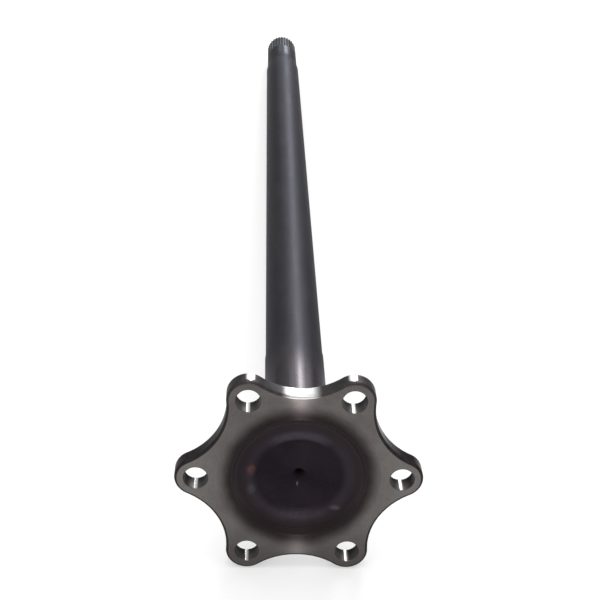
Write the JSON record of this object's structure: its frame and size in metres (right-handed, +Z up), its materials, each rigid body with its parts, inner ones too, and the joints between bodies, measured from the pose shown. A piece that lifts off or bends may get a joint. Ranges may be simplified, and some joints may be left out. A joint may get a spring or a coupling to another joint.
{
  "type": "axle shaft",
  "caption": "Forged steel axle shaft: a lobed bolting flange with a dished outer face on a long round bar that ends in a spline; carries drive to a wheel hub.",
  "frame": {"origin": "on the floor, under the middle of the box of the shaft as it lies", "axes": "+Y along the shaft from the flange to the spline, which lies lower; +Z up; +X across the flange"},
  "size_m": [0.1328, 0.9224, 0.1184],
  "materials": {
    "forged_steel": "turned and ground bare steel with a dark, unmachined forged dish in the flange"
  },
  "bodies": {
    "root": {"axle_shaft": "forged_steel"}
  },
  "joints": []
}
